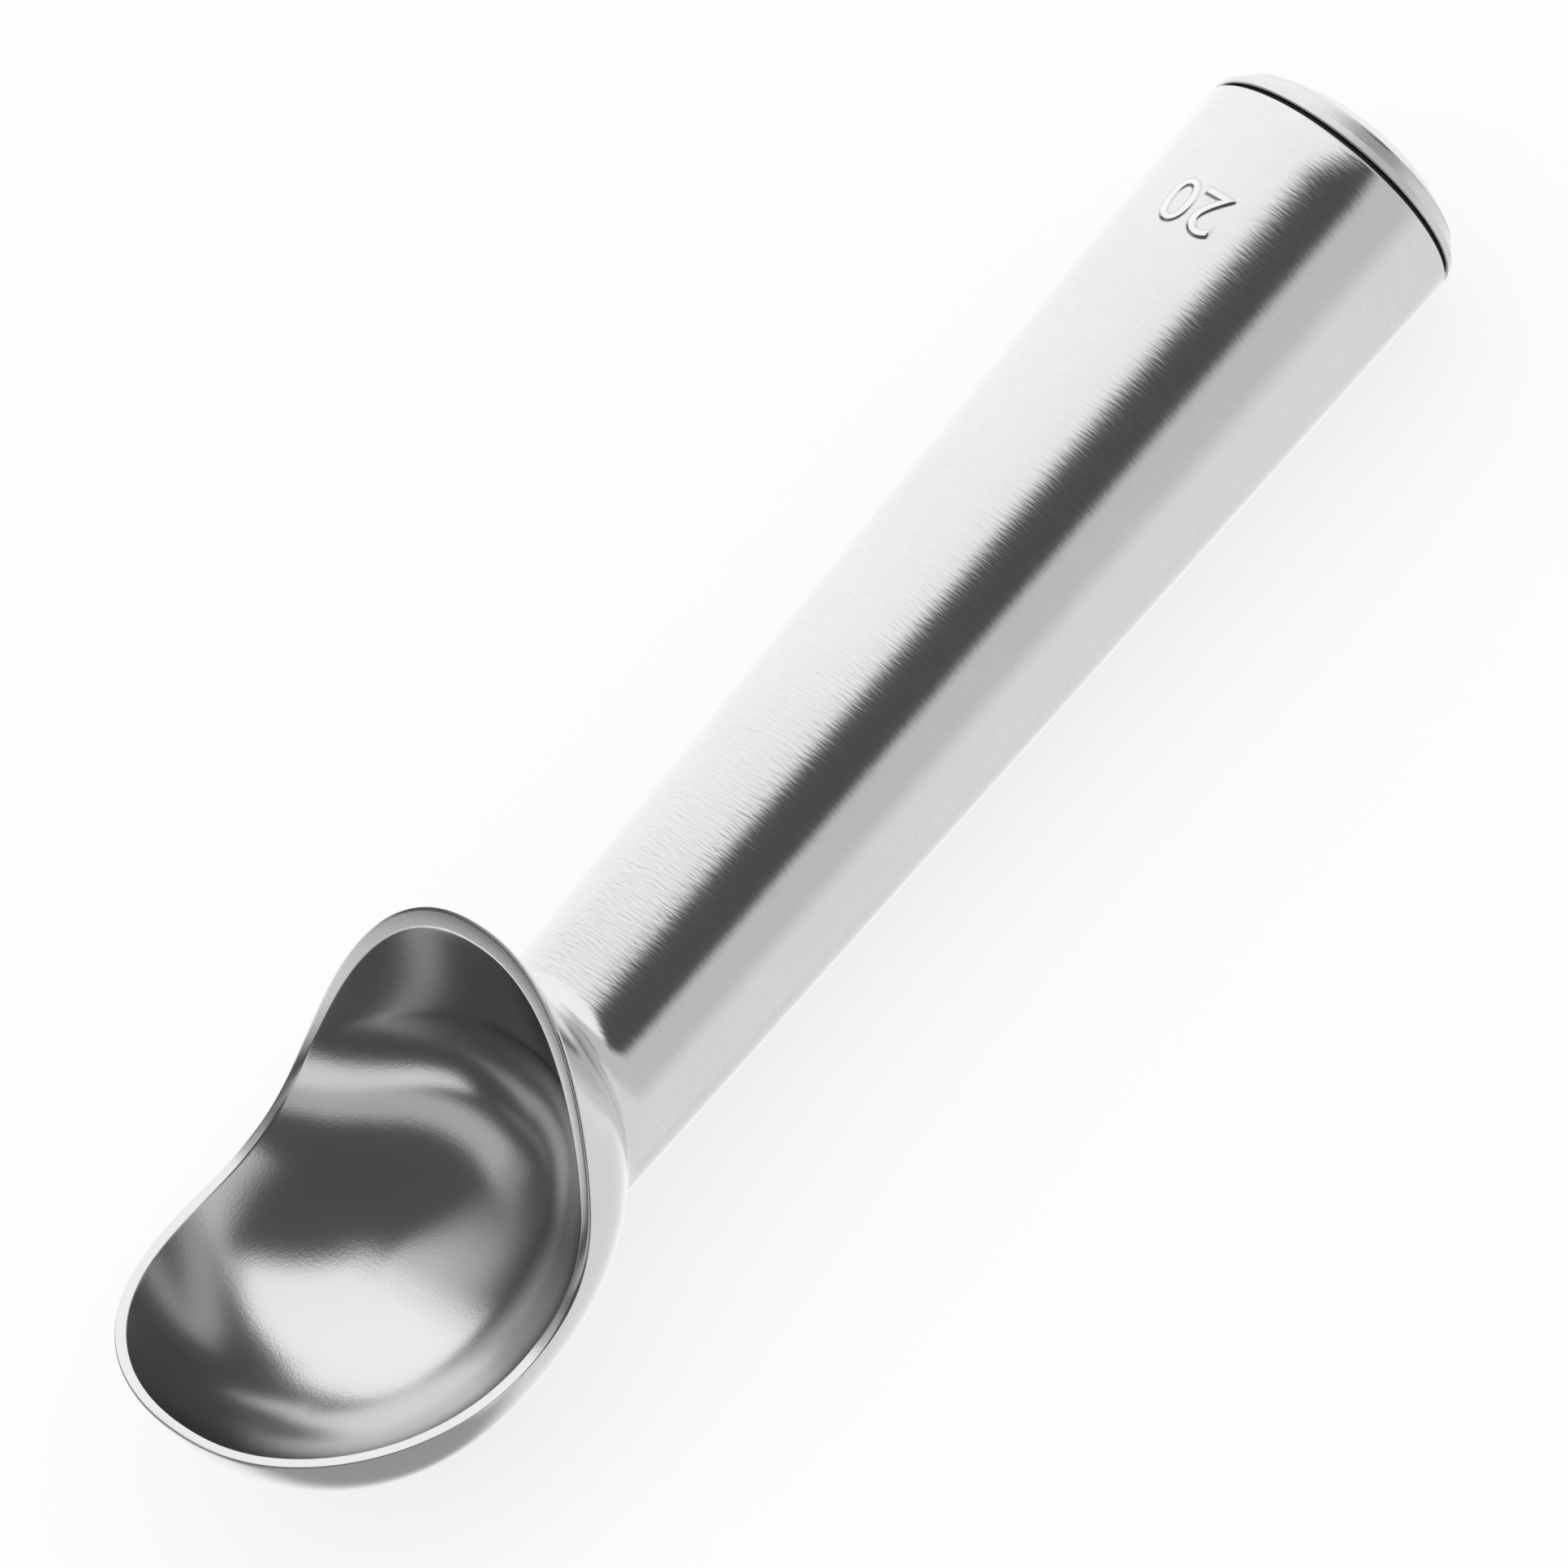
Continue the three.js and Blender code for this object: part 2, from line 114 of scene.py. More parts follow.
class DipperCapSizes(bpy.types.PropertyGroup):
    """Sizes of the end cap and its seal."""

    gap: length("Seal gap", "Gap between the handle's end and the flange", 0.00045)
    flange_radius: length("Flange radius", "Outer radius of the flange", 0.01545)
    flange_thickness: length("Flange thickness", "Straight edge of the flange", 0.0009)
    flange_round: length("Flange round", "Round of the flange's lower edge", 0.00015)
    flange_taper: length("Flange taper", "Fall of the flange's edge towards the bevel", 0.0002)
    bevel_width: length("Bevel width", "Width of the bevel above the flange", 0.0015)
    bevel_height: length("Bevel height", "Height of the bevel above the flange", 0.0015)
    step_width: length("Step width", "Width of the groove between bevel and crown", 0.0003)
    step_depth: length("Step depth", "Depth of the groove between bevel and crown", 0.0003)
    crown_wall: length("Crown wall", "Straight wall of the crown above the bevel", 0.0004)
    crown_height: length("Crown height", "Height of the crown above the bevel", 0.00275)
    flat_radius: length("Flat radius", "Radius of the flat in the middle of the crown", 0.0075)
    spigot_radius: length("Spigot radius", "Radius of the spigot in the handle", 0.0125)
    spigot_length: length("Spigot length", "Length of the spigot in the handle", 0.009)
    spigot_chamfer: length("Spigot chamfer", "Chamfer on the end of the spigot", 0.0008)
    soft_edge: length("Soft edge", "Softening of the sharp turned edges", 0.00012)
    seal_setback: length("Seal setback", "Seal's edge inside the flange's edge", 0.0004)
    seal_clearance: length("Seal clearance", "Slack above and below the seal", 0.00003)
    seal_fit: length("Seal fit", "Slack between the seal and the spigot", 0.0001)
    groove_radius: length("Groove radius", "Radius at the foot of the groove for the ring", 0.0107)
    groove_width: length("Groove width", "Width of the groove for the ring", 0.0019)
    groove_depth: length("Groove depth", "Open end of the handle to the middle of the groove", 0.0046)


class DipperNumberSizes(bpy.types.PropertyGroup):
    """Sizes of the raised size number."""

    words: bpy.props.StringProperty(name="Number", description="Portion number", default="20")
    height: length("Height", "Height of a figure", 0.0055)
    setback: length("Setback", "Open end of the handle to the middle of the figures", 0.0141)
    relief: length("Relief", "Height of the figures above their foot", 0.00012)
    foot: length("Foot", "Height of the low foot round a stroke", 0.00003)
    edge: length("Edge", "Width of the soft edge of a stroke with its foot", 0.0005)
    thinning: length("Thinning", "Width taken off each side of a stroke before its soft edge", 0.00018)


class DipperColours(bpy.types.PropertyGroup):
    """Colours of the dipper and its studio."""

    cast_metal: colour("Cast metal", "Satin cast aluminium", (0.80, 0.80, 0.795))
    cap_metal: colour("Cap metal", "Turned aluminium of the cap", (0.78, 0.78, 0.78))
    seal: colour("Seal", "Black rubber of the seals", (0.012, 0.012, 0.012))
    fluid: colour("Fluid", "Liquid in the handle", (0.55, 0.66, 0.72))
    floor: colour("Floor", "Pale floor", (0.98, 0.98, 0.98))


# Shader maths as plain expressions

class Value:
    """A shader socket that adds Math nodes when it is used in an expression."""

    def __init__(self, nodes, socket):
        self.nodes = nodes
        self.socket = socket

    def _math(self, operation, first, second):
        return self.nodes.add("ShaderNodeMath", {"operation": operation}, {0: first, 1: second})

    def __add__(self, other):
        return self._math("ADD", self, other)

    __radd__ = __add__

    def __sub__(self, other):
        return self._math("SUBTRACT", self, other)

    def __rsub__(self, other):
        return self._math("SUBTRACT", other, self)

    def __mul__(self, other):
        return self._math("MULTIPLY", self, other)

    __rmul__ = __mul__

    def __truediv__(self, other):
        return self._math("DIVIDE", self, other)

    def most(self, other):
        return self._math("MAXIMUM", self, other)

    def between(self, low, high):
        return self.nodes.add(
            "ShaderNodeMapRange", {"interpolation_type": "SMOOTHSTEP"}, {0: self, 1: low, 2: high})


class Nodes:
    """Adds nodes to one material or world, with settings first and then values or links."""

    def __init__(self, tree):
        self.tree = tree
        tree.nodes.clear()

    def add(self, kind, settings, inputs, output=0):
        node = self.tree.nodes.new(kind)
        for key, setting in settings.items():
            setattr(node, key, setting)
        for key, value in inputs.items():
            if isinstance(value, Value):
                self.tree.links.new(value.socket, node.inputs[key])
            else:
                node.inputs[key].default_value = value
        return Value(self, node.outputs[output])

    def place(self, scale):
        point = self.add("ShaderNodeTexCoord", {}, {}, "Object")
        return self.add("ShaderNodeMapping", {}, {0: point, 3: scale})

    def noise(self, scale, size, detail, roughness=0.5):
        return self.add(
            "ShaderNodeTexNoise", {},
            {"Vector": self.place(scale), "Scale": size, "Detail": detail, "Roughness": roughness})

    def mix(self, factor, first, second):
        return self.add(
            "ShaderNodeMix", {"data_type": "RGBA"}, {0: factor, 6: first, 7: second}, 2)


def new_material(name):
    material = bpy.data.materials.new(name)
    material.use_nodes = True
    return material, Nodes(material.node_tree)


def rgba(value, gain=1.0):
    return (value[0] * gain, value[1] * gain, value[2] * gain, 1.0)


def cast_metal_material():
    """Satin cast aluminium: rings of fine brushing on the handle, grain in the bowl."""
    material, nodes = new_material("satin_cast_metal")
    colours = bpy.context.scene.dipper_colours
    bowl = nodes.add("ShaderNodeAttribute", {"attribute_name": "bowl_share"}, {}, "Fac")
    brushing = nodes.noise((3400.0, 560.0, 560.0), 1.0, 2.0, 0.5)
    grain = nodes.noise((3400.0, 3400.0, 3400.0), 1.0, 2.0, 0.6)
    cloud = nodes.noise((45.0, 45.0, 45.0), 1.0, 3.0)
    surface = brushing * (1.0 - bowl) + grain * bowl * 0.5
    tone = nodes.mix((cloud * 0.5 + surface * 0.5).between(0.3, 0.7),
                     rgba(colours.cast_metal, 0.97), rgba(colours.cast_metal, 1.03))
    rough = 0.11 + bowl * 0.03 + surface * 0.05 + cloud * 0.03
    bump = nodes.add(
        "ShaderNodeBump", {},
        {"Strength": 0.30, "Distance": 0.00005, "Height": surface})
    shader = nodes.add(
        "ShaderNodeBsdfPrincipled", {},
        {"Base Color": tone, "Metallic": 1.0, "Roughness": rough, "Normal": bump})
    link_surface(nodes, shader)
    return material


def number_metal_material():
    """Cast aluminium of the raised figures: a painted highlight on their tops over painted shade at their
    foot.
    """
    material, nodes = new_material("number_metal")
    metal = bpy.context.scene.dipper_colours.cast_metal
    # Share from painted shade at a stroke's foot (darker base colour) to a painted highlight on its top
    # (lighter base colour)
    shade_and_highlight = nodes.add("ShaderNodeAttribute", {"attribute_name": "shade_and_highlight_share"}, {}, "Fac")
    grain = nodes.noise((2600.0, 2600.0, 2600.0), 1.0, 2.0, 0.6)
    shader = nodes.add(
        "ShaderNodeBsdfPrincipled", {},
        {"Base Color": nodes.mix(shade_and_highlight, rgba(metal, 0.86), rgba(metal, 1.1)), "Metallic": 1.0,
         "Roughness": 0.16 + grain * 0.08})
    link_surface(nodes, shader)
    return material


def link_surface(nodes, shader):
    output = nodes.tree.nodes.new("ShaderNodeOutputMaterial")
    nodes.tree.links.new(shader.socket, output.inputs["Surface"])


def cap_metal_material():
    """Matt turned aluminium with a fine grain."""
    material, nodes = new_material("turned_cap_metal")
    colours = bpy.context.scene.dipper_colours
    grain = nodes.noise((3800.0, 3800.0, 3800.0), 1.0, 3.0, 0.7)
    cloud = nodes.noise((160.0, 160.0, 160.0), 1.0, 3.0)
    tone = nodes.mix((grain * 0.6 + cloud * 0.4).between(0.3, 0.7),
                     rgba(colours.cap_metal, 0.93), rgba(colours.cap_metal, 1.04))
    bump = nodes.add(
        "ShaderNodeBump", {}, {"Strength": 0.2, "Distance": 0.00008, "Height": grain})
    shader = nodes.add(
        "ShaderNodeBsdfPrincipled", {},
        {"Base Color": tone, "Metallic": 1.0, "Roughness": 0.20 + grain * 0.12, "Normal": bump})
    link_surface(nodes, shader)
    return material


def seal_material():
    """Black rubber."""
    material, nodes = new_material("seal_rubber")
    colours = bpy.context.scene.dipper_colours
    grain = nodes.noise((900.0, 900.0, 900.0), 1.0, 2.0)
    tone = nodes.mix(grain, rgba(colours.seal, 0.8), rgba(colours.seal, 1.4))
    shader = nodes.add(
        "ShaderNodeBsdfPrincipled", {},
        {"Base Color": tone, "Roughness": 0.6 + grain * 0.2})
    link_surface(nodes, shader)
    return material


def fluid_material():
    """Pale liquid."""
    material, nodes = new_material("heat_fluid")
    colours = bpy.context.scene.dipper_colours
    cloud = nodes.noise((60.0, 60.0, 60.0), 1.0, 2.0)
    tone = nodes.mix(cloud, rgba(colours.fluid, 0.95), rgba(colours.fluid, 1.05))
    shader = nodes.add(
        "ShaderNodeBsdfPrincipled", {}, {"Base Color": tone, "Roughness": 0.05 + cloud * 0.03})
    link_surface(nodes, shader)
    return material


# Placing: the handle's axis as it lies in the frame, taken from the cap's end face

def handle_matrix():
    """Matrix from the handle's own axes, with x = 0 at its open end, to the frame."""
    sizes = bpy.context.scene.dipper_cap
    along = Vector(CAP_FACE["axis"]).normalized()
    across = Vector((0.0, 1.0, 0.0))
    up = along.cross(across)
    crown = sizes.gap + sizes.flange_thickness + sizes.bevel_height + sizes.crown_height
    start = Vector(CAP_FACE["pos_m"]) - along * crown
    turn = Matrix((along, across, up)).transposed()
    return Matrix.Translation(start) @ turn.to_4x4()


def clear_selection():
    if bpy.context.object and bpy.context.object.mode != "OBJECT":
        bpy.ops.object.mode_set(mode="OBJECT")
    bpy.ops.object.select_all(action="DESELECT")


def settle(piece, material, node=None):
    """Applies the piece's place, gives it its material and seats it in the frame."""
    bpy.ops.object.transform_apply(location=True, rotation=True, scale=True)
    piece.data.materials.clear()
    piece.data.materials.append(material)
    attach(piece, "root")
    if node:
        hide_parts(node)


# Form of the casting, worked out in the handle's own axes

# Rounded end of the bore, along and out, as shares of its radius there
BORE_END = ((0.0, 0.0), (0.0, 0.55), (0.13, 0.87), (0.5, 1.0))


class CastingForm:
    """Rings of points from the bottom of the bore, out over handle and bowl, to the bowl's inside."""

    def __init__(self, sizes, around):
        self.s = sizes
        self.heel = -sizes.handle_length
        self.half_width = sizes.bowl_width / 2
        self.middle = self.heel - sizes.widest
        self.shift = sizes.widest - sizes.deepest
        self.tip = self.heel - sizes.bowl_length
        self.rise = sizes.bowl_depth * math.pi / 2
        self.taper = (sizes.end_radius - sizes.neck_radius) / sizes.handle_length
        self.angles = 2 * np.pi * np.arange(around) / around
        self.profile = self.side_profile()

    def side_profile(self):
        """Height of the rim along the bowl, as two curves that meet level at the waist."""
        s = self.s
        t = np.linspace(0, 1, 2001)[:, None]
        heel = np.array([self.heel, s.rim_heel])
        waist = np.array([self.heel - s.rim_setback, s.rim_waist])
        tip = np.array([self.tip, s.rim_tip])

        def curve(a, b, c, d):
            return (1 - t) ** 3 * a + 3 * (1 - t) ** 2 * t * b + 3 * (1 - t) * t * t * c + t ** 3 * d

        from_heel = heel + [-s.heel_reach, -s.heel_reach * s.heel_slope]
        from_tip = tip + [s.tip_reach, -s.tip_reach * s.tip_slope]
        back = curve(heel, from_heel, waist + [s.waist_reach_heel, 0], waist)
        front = curve(waist, waist - [s.waist_reach_tip, 0], from_tip, tip)
        return np.concatenate([back, front[1:]])[::-1]

    def rim_height(self, x):
        return np.interp(x, self.profile[:, 0], self.profile[:, 1])

    def half_length(self, forward):
        return np.where(forward > 0, self.s.widest, self.s.bowl_length - self.s.widest)

    def sunk(self, height):
        """Share of the depth below the widest level."""
        return np.clip((self.s.bowl_level - height) / self.s.bowl_depth, 0, None)

    def skin(self, flat):
        """Outer skin over a flat disc: its centre is the bottom, radius 1 is the widest level."""
        s = self.s
        radius = np.hypot(flat[..., 0], flat[..., 1])
        angle = np.arctan2(flat[..., 1], flat[..., 0])
        cosine, sine = np.cos(angle), np.sin(angle)
        n, e = s.plan_fullness, s.depth_fullness
        plan = (np.abs(cosine) ** n + np.abs(sine) ** n) ** (-1 / n)
        turn = np.clip(radius, 0, 1) * np.pi / 2
        out, down = np.sin(turn), np.clip(np.cos(turn), 0, 1)
        scale = (out ** e + down ** e) ** (-1 / e)
        spread = np.where(radius < 1, out * scale, 1.0) * plan
        height = np.where(
            radius < 1, s.bowl_level - s.bowl_depth * down * scale,
            s.bowl_level + (radius - 1) * self.rise)
        along = self.middle + self.shift * self.sunk(height)
        return np.stack([along + self.half_length(cosine) * spread * cosine,
                         self.half_width * spread * sine, height], -1)

    def normal(self, flat):
        east, north = np.array([1e-3, 0]), np.array([0, 1e-3])
        cross = np.cross(self.skin(flat + north) - self.skin(flat - north),
                         self.skin(flat + east) - self.skin(flat - east))
        return cross / np.linalg.norm(cross, axis=-1, keepdims=True)

    def plan_share(self, point):
        """Distance from the bowl's upright axis as a share of the plan, and the angle round it."""
        n = self.s.plan_fullness
        forward = point[..., 0] - self.middle - self.shift * self.sunk(point[..., 2])
        along = forward / self.half_length(forward)
        across = point[..., 1] / self.half_width
        return (np.abs(along) ** n + np.abs(across) ** n) ** (1 / n), np.arctan2(across, along)

    def outside(self, point):
        """Above zero outside the bowl's full skin."""
        e = self.s.depth_fullness
        return (self.plan_share(point)[0] ** e + self.sunk(point[..., 2]) ** e) ** (1 / e) - 1

    def flatten(self, point):
        """Place on the flat disc that a point of the skin comes from."""
        spread, angle = self.plan_share(point)
        sunk = self.sunk(point[..., 2])
        radius = np.where(sunk > 0, np.arctan2(spread, sunk) * 2 / np.pi,
                          1 + (point[..., 2] - self.s.bowl_level) / self.rise)
        return np.stack([radius * np.cos(angle), radius * np.sin(angle)], -1)

    def unit(self, vectors):
        return vectors / np.linalg.norm(vectors, axis=-1, keepdims=True)

    def round_ring(self, x, radius):
        x = np.zeros_like(self.angles) + x
        return np.stack([x, radius * np.sin(self.angles), radius * np.cos(self.angles)], -1)

    def handle_ring(self, x):
        return self.round_ring(x, self.s.end_radius + self.taper * x)

    def solve(self, rising, low, high):
        for _ in range(50):
            middle = (low + high) / 2
            below = rising(middle) < 0
            low = np.where(below, middle, low)
            high = np.where(below, high, middle)
        return (low + high) / 2

    def rim(self):
        """Outer edge of the rim on the flat disc."""
        facing = np.stack([np.cos(self.angles), np.sin(self.angles)], -1)

        def above(radius):
            point = self.skin(facing * radius[:, None])
            return point[:, 2] - self.rim_height(point[:, 0])

        ones = np.ones_like(self.angles)
        return facing * self.solve(above, 0.2 * ones, (1 + self.s.rim_heel / self.rise) * ones)[:, None]

    def along_rim(self, at_tip, at_heel):
        return at_tip + (at_heel - at_tip) * ((1 + np.cos(self.angles)) / 2) ** 3

    def inside(self, flat, rim):
        """Inside of the bowl, under the skin by a wall between the lip's and the bottom's."""
        s = self.s
        lip = self.along_rim(s.wall_tip, s.wall_heel)
        share = np.hypot(flat[:, 0], flat[:, 1]) / np.hypot(rim[:, 0], rim[:, 1])
        wall = s.wall_bottom + (lip - s.wall_bottom) * np.minimum(1, share) ** 3
        return self.skin(flat) - self.normal(flat) * wall[:, None]

    def inner_rim(self, rim):
        """Inner edge of the rim: the side profile cuts straight across the wall."""

        def above(share):
            point = self.inside(rim * share[:, None], rim)
            return point[:, 2] - self.rim_height(point[:, 0])

        ones = np.ones_like(self.angles)
        return rim * self.solve(above, 0.2 * ones, 1.1 * ones)[:, None]

    def neck(self):
        """Where each line of the handle runs into the bowl."""
        ones = np.ones_like(self.angles)
        reach = self.solve(lambda x: self.outside(self.handle_ring(x)),
                           self.middle * ones, (self.heel + self.s.neck_fillet) * ones)
        meets = self.outside(self.handle_ring(self.middle * ones)) < 0
        return np.where(meets, reach, self.middle)

    def rings(self, handle, fillet, bowl, lip_steps, inside):
        """All rings, with the share of each that counts as bowl rather than handle."""
        s = self.s
        rings = []
        share = []

        def put(points, amount):
            rings.append(points)
            share.append(amount)

        # Bore with a rounded end, and the seat of the cap
        seat = s.end_radius - s.handle_wall
        bore = seat - s.seat_shoulder
        end = bore - self.taper * s.bore_depth
        for along, out in BORE_END:
            put(self.round_ring(-s.bore_depth + end * along, end * out), 0.0)
        for x, radius in ((-s.seat_depth, bore), (-s.seat_depth, seat), (0.0, seat)):
            put(self.round_ring(x, radius), 0.0)

        # Edge of the open end, handle and neck
        for a in np.linspace(0, np.pi / 2, 6):
            put(self.round_ring(-s.edge_round * (1 - np.cos(a)),
                                s.end_radius - s.edge_round * (1 - np.sin(a))), 0.0)
        neck_x = self.neck()
        start_x = neck_x + s.neck_fillet
        for t in np.arange(1, handle + 1) / handle:
            put(self.handle_ring(-s.edge_round + (start_x + s.edge_round) * t), 0.0)
        start, neck = self.handle_ring(start_x), self.handle_ring(neck_x)
        rim = self.rim()
        flat = self.flatten(neck)
        near = np.linalg.norm(self.skin(flat + (rim - flat) * 0.05) - self.skin(flat), axis=-1)
        part = 0.05 * s.neck_fillet / np.maximum(near, 1e-6)
        finish = self.skin(flat + (rim - flat) * part[:, None])
        for t in np.arange(1, fillet + 1) / fillet:
            put((1 - t) ** 2 * start + 2 * t * (1 - t) * neck + t * t * finish, t)
        curl = self.along_rim(s.lip_round_tip, s.lip_round_heel)
        outer = self.skin(rim)
        below = outer - self.skin(flat + (rim - flat) * 0.98)
        stop = 1 - 0.02 * 1.15 * curl / np.linalg.norm(below, axis=-1)
        for t in np.arange(1, bowl + 1) / bowl:
            put(self.skin(flat + (rim - flat) * (part + (stop - part) * t)[:, None]), 1.0)

        # Lip with a round outer and inner edge
        inner_rim = self.inner_rim(rim)
        inner = self.inside(inner_rim, rim)
        sunken = self.inside(inner_rim * 0.98, rim)
        edges = ((outer, outer - below, inner, curl),
                 (inner, outer, sunken, np.full_like(curl, s.lip_inner_round)))
        for corner, before, after, size in edges:
            first = corner + self.unit(before - corner) * size[:, None]
            last = corner + self.unit(after - corner) * size[:, None]
            for t in np.linspace(0, 1, lip_steps):
                put((1 - t) ** 2 * first + 2 * t * (1 - t) * corner + t * t * last, 1.0)
        for t in 1 - np.arange(1, inside + 1) / inside:
            put(self.inside(inner_rim * max(t, 1e-4), rim), 1.0)
        return np.array(rings), np.array(share)


class DIPPER_OT_casting(bpy.types.Operator):
    """Model the bowl, neck and handle as one casting"""

    bl_idname = "dipper.casting"
    bl_label = "Casting"

    def execute(self, context):
        around = 288
        form = CastingForm(context.scene.dipper_casting, around)
        rings, share = form.rings(handle=28, fillet=18, bowl=72, lip_steps=6, inside=96)
        count = len(rings)
        closed = np.concatenate([rings, rings[:, :1]], axis=1)

        # A sheet of quads is wrapped over the rings, and its seam and poles are welded
        clear_selection()
        bpy.ops.mesh.primitive_grid_add(x_subdivisions=around, y_subdivisions=count - 1, size=1.0)
        piece = context.object
        piece.name = piece.data.name = "cast_dipper"
        mesh = piece.data
        flat = np.empty(len(mesh.vertices) * 3)
        mesh.vertices.foreach_get("co", flat)
        flat = flat.reshape(-1, 3)
        column = np.rint((flat[:, 0] + 0.5) * around).astype(int)
        row = np.rint((flat[:, 1] + 0.5) * (count - 1)).astype(int)
        points = closed[row, column]
        mesh.vertices.foreach_set("co", points.astype(np.float32).ravel())
        amount = mesh.attributes.new("bowl_share", "FLOAT", "POINT")
        amount.data.foreach_set("value", share[row].astype(np.float32))
        bpy.ops.object.mode_set(mode="EDIT")
        bpy.ops.mesh.select_all(action="SELECT")
        bpy.ops.mesh.remove_doubles(threshold=1e-6)
        bpy.ops.mesh.normals_make_consistent(inside=False)
        bpy.ops.object.mode_set(mode="OBJECT")
        bpy.ops.object.shade_smooth_by_angle(angle=math.radians(40))
        piece.matrix_world = handle_matrix()
        settle(piece, cast_metal_material(), "dipper_casting")
        return {"FINISHED"}


# Height of a figure as a share of the font's size
FIGURE_SHARE = 0.72
# Where a stroke's foot ends and its top starts, as shares of its soft edge
FOOT_END = 0.4
TOP_START = 0.8
# Share of the foot that is sunk in the handle
SUNK_FOOT = 0.3
# Painted light across the soft edge: as the handle at the outer rim, painted shade at the foot, a painted
# highlight on top
SHADE_AND_HIGHLIGHT_AT = (0.0, 0.3, 0.5, TOP_START)
SHADE_AND_HIGHLIGHT = (0.58, 0.0, 0.1, 1.0)


class DIPPER_OT_size_number(bpy.types.Operator):
    """Raise the portion number on the handle, near its end"""

    bl_idname = "dipper.size_number"
    bl_label = "Size Number"

    def execute(self, context):
        casting = context.scene.dipper_casting
        sizes = context.scene.dipper_number
        clear_selection()
        bpy.ops.object.text_add(align="WORLD")
        words = context.object
        words.data.body = sizes.words
        words.data.align_x = "CENTER"
        words.data.align_y = "CENTER"
        words.data.size = sizes.height / FIGURE_SHARE
        words.data.resolution_u = 10
        words.data.offset = -sizes.thinning
        words.data.bevel_depth = sizes.edge
        words.data.bevel_resolution = 8
        bpy.ops.object.convert(target="MESH")
        piece = context.object
        piece.name = piece.data.name = "size_number"

        # Cuts across the figures let them follow the round of the handle
        bpy.ops.object.mode_set(mode="EDIT")
        reach = max(abs(v.co.x) for v in piece.data.vertices)
        for cut in np.linspace(-reach, reach, 26)[1:-1]:
            bpy.ops.mesh.select_all(action="SELECT")
            bpy.ops.mesh.bisect(plane_co=(float(cut), 0, 0), plane_no=(1, 0, 0))
        bpy.ops.object.mode_set(mode="OBJECT")
        taper = (casting.end_radius - casting.neck_radius) / casting.handle_length
        # Each vertex of a stroke gets its share of painted light: painted shade at the foot, a painted
        # highlight on top
        shade_and_highlight = piece.data.attributes.new("shade_and_highlight_share", "FLOAT", "POINT")
        for vertex in piece.data.vertices:
            x = -sizes.setback - vertex.co.y
            radius = casting.end_radius + taper * x
            angle = vertex.co.x / radius
            upright = vertex.co.z / sizes.edge
            inset = 1 - math.sqrt(max(0.0, 1 - upright ** 2))
            radius -= sizes.foot * SUNK_FOOT
            if upright < 0:
                radius += upright * sizes.relief
            else:
                side = min(1.0, max(0.0, (inset - FOOT_END) / (TOP_START - FOOT_END)))
                radius += sizes.foot * min(1.0, inset / FOOT_END)
                radius += sizes.relief * side * side * (3 - 2 * side)
                shade_and_highlight.data[vertex.index].value = np.interp(inset, SHADE_AND_HIGHLIGHT_AT, SHADE_AND_HIGHLIGHT)
            vertex.co = (x, radius * math.sin(angle), radius * math.cos(angle))
        bpy.ops.object.mode_set(mode="EDIT")
        bpy.ops.mesh.select_all(action="SELECT")
        bpy.ops.mesh.remove_doubles(threshold=1e-6)
        bpy.ops.mesh.normals_make_consistent(inside=False)
        bpy.ops.object.mode_set(mode="OBJECT")
        bpy.ops.object.shade_smooth_by_angle(angle=math.radians(50))
        piece.matrix_world = handle_matrix()
        settle(piece, number_metal_material())
        return {"FINISHED"}


def turn_profile(name, profile, around=192):
    """Draws a round piece out of a circle, ring by ring along X, from [x, radius] pairs."""
    clear_selection()
    x, radius = profile[0]
    bpy.ops.mesh.primitive_circle_add(
        vertices=around, radius=radius, fill_type="NOTHING", location=(x, 0, 0),
        rotation=(0, math.pi / 2, 0))
    piece = bpy.context.object
    piece.name = piece.data.name = name
    bpy.ops.object.transform_apply(location=True, rotation=True, scale=True)
    bpy.ops.object.mode_set(mode="EDIT")
    bpy.ops.mesh.select_all(action="SELECT")
    for next_x, next_radius in profile[1:]:
        bpy.ops.mesh.extrude_edges_move(TRANSFORM_OT_translate={"value": (next_x - x, 0, 0)})
        grow = next_radius / radius
        bpy.ops.transform.resize(value=(1, grow, grow), center_override=(next_x, 0, 0))
        x, radius = next_x, next_radius
    return piece


def finish_turned(piece):
    bpy.ops.mesh.select_all(action="SELECT")
    bpy.ops.mesh.remove_doubles(threshold=1e-7)
    bpy.ops.mesh.normals_make_consistent(inside=False)
    bpy.ops.object.mode_set(mode="OBJECT")
    bpy.ops.object.shade_smooth_by_angle(angle=math.radians(24))
    piece.matrix_world = handle_matrix()


